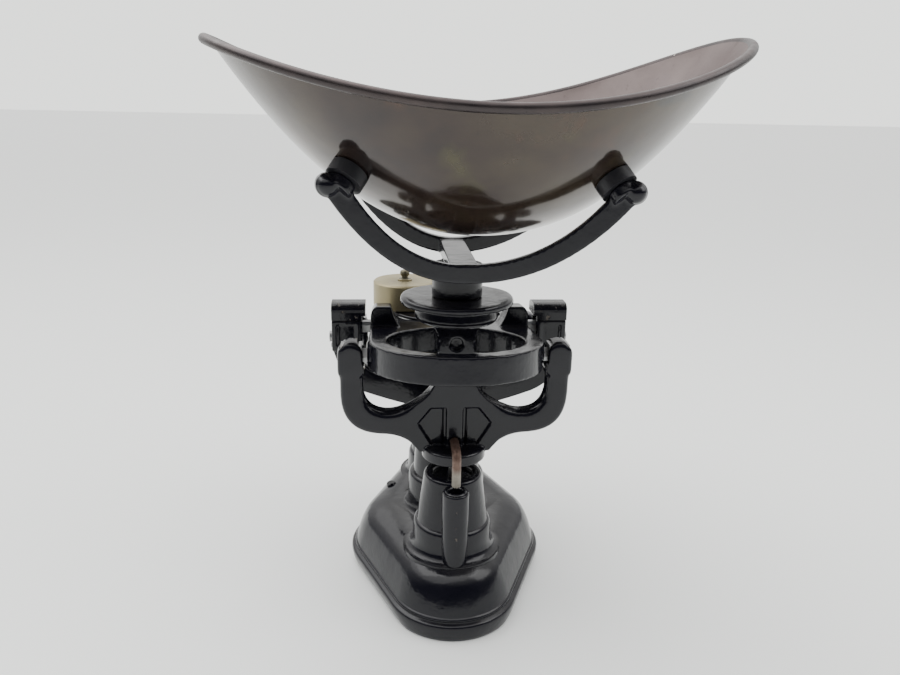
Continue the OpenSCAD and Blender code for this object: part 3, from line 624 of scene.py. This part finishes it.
def build_base(material):
    """The base casting: its solids joined, then the bores, sockets and pin hole cut."""
    base = base_shell()
    parts = [column()]
    cuts = []
    for facing in (-1, 1):
        y = facing * ARM
        parts += [pillar(y), rib(y, facing), rib_web(y, facing)]
        bore = [(0, 30), (PILLAR_BORE, 30), (PILLAR_BORE, 102), (0, 102)]
        socket = [(0, 81), (4.6, 81), (4.8, 110), (0, 110)]
        cuts.append(lathe("bore", bore, (0.0, y), 96))
        cuts.append(lathe("socket", socket, (0.0, y + facing * SOCKET_OUT), 48))
    for left in (-15, 9):
        parts.append(block("lug", (left, -9, 18.5), (left + 6, 9, 42), 0.8))
    parts.append(lathe("boss", [(0, 38), (4, 38), (4, 46.6), (3, 47.6), (0, 47.8)], BOSS_PLACE, 32))
    combine(base, parts, "UNION")
    pin_low, pin_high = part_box("stay_pin")
    pin = (pin_low + pin_high) / 2 / MM
    bar = bar_along_x("pin_hole", 3.0, -20.0, 20.0, pin.y, pin.z)
    combine(base, cuts + [bar], "DIFFERENCE")
    base.data.materials.clear()
    base.data.materials.append(material)
    shade_by_angle(base.data, 38.0)
    place_piece(base, "base", "black_iron", "base_casting")
    return base


def bar_along_x(name, radius, x0, x1, y, z):
    """A round bar in millimetres."""
    build = bmesh.new()
    bmesh.ops.create_cone(build, cap_ends=True, segments=48, radius1=radius * MM, radius2=radius * MM,
                          depth=(x1 - x0) * MM)
    turn = Matrix.Rotation(math.pi / 2, 4, "Y")
    move = Matrix.Translation(Vector(((x0 + x1) / 2, y, z)) * MM)
    bmesh.ops.transform(build, matrix=move @ turn, verts=build.verts)
    mesh = bpy.data.meshes.new(name)
    build.to_mesh(mesh)
    build.free()
    return new_object(name, mesh)


# ---- Pan ---------------------------------------------------------------------

PAN_HALF_LENGTH = 165.5
PAN_HALF_WIDTH = 112.5
PAN_END_HEIGHT = 120.5
PAN_SIDE_HEIGHT = 85.5
PAN_BACK_HEIGHT = 77.0
PAN_SWELL = 2.15
PAN_SHEET = 0.8
PAN_BEAD = 3.0
PAN_BEAD_OUT = 2.4
PAN_BEAD_OPEN = 165.0  # degrees that the bead's curl reaches, either way from straight out
PAN_RIPPLE = 0.35
PAN_PLACE = (15.8, -61.266, 281.6)
PAN_LEAN, PAN_TIP, PAN_SWING = 2.5, -1.4, 4.5


def pan_matrix():
    turns = [Matrix.Rotation(math.radians(angle), 4, axis)
             for angle, axis in ((PAN_SWING, "Z"), (PAN_TIP, "Y"), (PAN_LEAN, "X"))]
    return Matrix.Translation(Vector(PAN_PLACE)) @ turns[0] @ turns[1] @ turns[2]


def bowl_point(share, angle):
    """A point of the pan's sheet, share of the way from its middle to its rim, in its own millimetres."""
    along, across = math.cos(angle), math.sin(angle)
    side_height = PAN_BACK_HEIGHT if across > 0 else PAN_SIDE_HEIGHT
    height = PAN_END_HEIGHT * along * along + side_height * across * across
    x, y = PAN_HALF_LENGTH * share * along, PAN_HALF_WIDTH * share * across
    return Vector((x, y, height * share ** PAN_SWELL))


def bowl_frame(share, angle):
    """A point of the sheet with its normal, which points up and in."""
    step = 0.001
    point = bowl_point(share, angle)
    outward = bowl_point(share + step, angle) - point
    around = bowl_point(share, angle + step) - point
    return point, outward.cross(around).normalized()


def rippled_point(share, angle, lift):
    """A point this far above the sheet, with the shallow waves of sheet metal that has been handled."""
    point, normal = bowl_frame(share, angle)
    ripple = PAN_RIPPLE * noise.noise(point * 0.021) * min(1.0, 4 * share)
    return point + normal * (lift + ripple)


def build_pan(outside, inside, bead):
    """One closed sheet: up the inside, round the rolled rim and back down the outside."""
    steps, rings, turns = 256, 36, 16
    shares = [((k + 1) / rings) ** 0.9 for k in range(rings)]
    place = pan_matrix()
    points = []
    for i in range(steps):
        angle = math.tau * i / steps
        strip = []
        strip += [rippled_point(share, angle, PAN_SHEET) for share in shares]
        across, along = PAN_HALF_WIDTH * math.cos(angle), PAN_HALF_LENGTH * math.sin(angle)
        flat = Vector((across, along, 0.0)).normalized()
        centre = bowl_point(1.0, angle) + flat * PAN_BEAD_OUT
        for k in range(turns):
            roll = math.radians(PAN_BEAD_OPEN - 2 * PAN_BEAD_OPEN * k / (turns - 1))
            strip.append(centre + PAN_BEAD * (math.cos(roll) * flat + Vector((0, 0, math.sin(roll)))))
        strip += [rippled_point(share, angle, 0.0) for share in reversed(shares)]
        points += [place @ point for point in strip]
    count = 2 * rings + turns
    kinds = [1] * (rings - 1) + [2] * (turns + 1) + [0] * (rings - 1)
    faces, slots = [], []
    for i in range(steps):
        a, b = i * count, (i + 1) % steps * count
        for k in range(count - 1):
            faces.append((a + k, b + k, b + k + 1, a + k + 1))
            slots.append(kinds[k])
    top, bottom = len(points), len(points) + 1
    points += [place @ Vector((0, 0, PAN_SHEET)), place @ Vector((0, 0, 0))]
    for i in range(steps):
        a, b = i * count, (i + 1) % steps * count
        faces.append((b, a, top))
        slots.append(1)
        faces.append((a + count - 1, b + count - 1, bottom))
        slots.append(0)
    mesh = bpy.data.meshes.new("scoop_pan")
    mesh.from_pydata([point * MM for point in points], [], faces)
    for material in (outside, inside, bead):
        mesh.materials.append(material)
    for face, slot in zip(mesh.polygons, slots):
        face.material_index = slot
    build = bmesh.new()
    build.from_mesh(mesh)
    bmesh.ops.recalc_face_normals(build, faces=build.faces)
    build.to_mesh(mesh)
    build.free()
    shade_by_angle(mesh, 50.0)
    pan = new_object("scoop_pan", mesh)
    place_piece(pan, "pan", "patinated_copper", "pan_shell", "pan_rim_wire")


# ---- Small parts that keep their CAD shape -----------------------------------


def dress(node, material):
    nodes[node].data.materials.clear()
    nodes[node].data.materials.append(material)


def ease_edges(node, radius):
    """A narrow round on the CAD node's sharp edges, which catches the light."""
    bevel = nodes[node].modifiers.new("eased", "BEVEL")
    bevel.width = radius * MM
    bevel.segments = 3
    bevel.limit_method = "ANGLE"
    bevel.angle_limit = math.radians(35.0)
    bevel.use_clamp_overlap = True


# ---- Build -------------------------------------------------------------------

add_camera()
add_world()
add_floor()
add_sky_light((0.25, -0.1, -1.0), 2.1, 100.0)
add_area_light("key", (-0.7, 0.2, 1.5), (0, 0, 0.15), (1.4, 1.4), 12.0)
add_area_light("fill", (1.1, -0.3, 1.1), (0, 0, 0.2), (0.9, 0.9), 7.0)

black = enamel("black_enamel")
black_small = enamel("black_enamel_small_parts", 0.6)
steel = ground_steel("ground_steel")
brass = aged_brass("aged_brass")
rod_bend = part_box("front_guide_rod")[1].z - 0.016
finishes = {
    "black_iron": black, "blackened_steel": black_small, "bare_steel": steel,
    "rusty_steel": rusted_rod("rusted_rod", rod_bend), "patinated_copper": patina_outside("patina"),
    "aged_brass": brass, "lead": lead_grey("lead"), "black_rubber": rubber("rubber_pads"),
}
for part in frame["record"]["subparts"]:
    dress(part["node"], finishes[part["material_slot"]])

edge_rounds = {
    "bearing_caps": 1.1, "cap_screws": 0.3, "cradle_pads": 1.2, "brass_weight": 0.5, "weight_knob": 0.3,
    "yoke_bolts": 0.3, "trim_weight": 0.5, "fulcrum_knives": 0.15, "front_end_knives": 0.15,
    "rear_end_knives": 0.15, "check_bar": 0.8, "weights_plate": 0.4,
}
for node, radius in edge_rounds.items():
    ease_edges(node, radius)


def horn_zone(point):
    """1 on a carrier's arms and horns, 0 on its web and neck."""
    return max(0.0, min(1.0, (abs(point.x) / MM - 27.0) / 9.0))


build_base(black)
soft_casting("fulcrum_yoke", "base", black, 0.8, 7)
soft_casting("beam_casting", "beam", black, 0.8, 6)
soft_casting("front_carrier", "goods_carrier", black, 0.7, 5, horn_zone, 75, 1.25)
soft_casting("rear_carrier", "weights_carrier", black, 0.8, 5, horn_zone, 60, 1.1)
soft_casting("pan_cradle", "cradle", black, 0.7, 7)
build_pan(finishes["patinated_copper"], patina_inside("patina_inside"), patina_bead("patina_bead"))
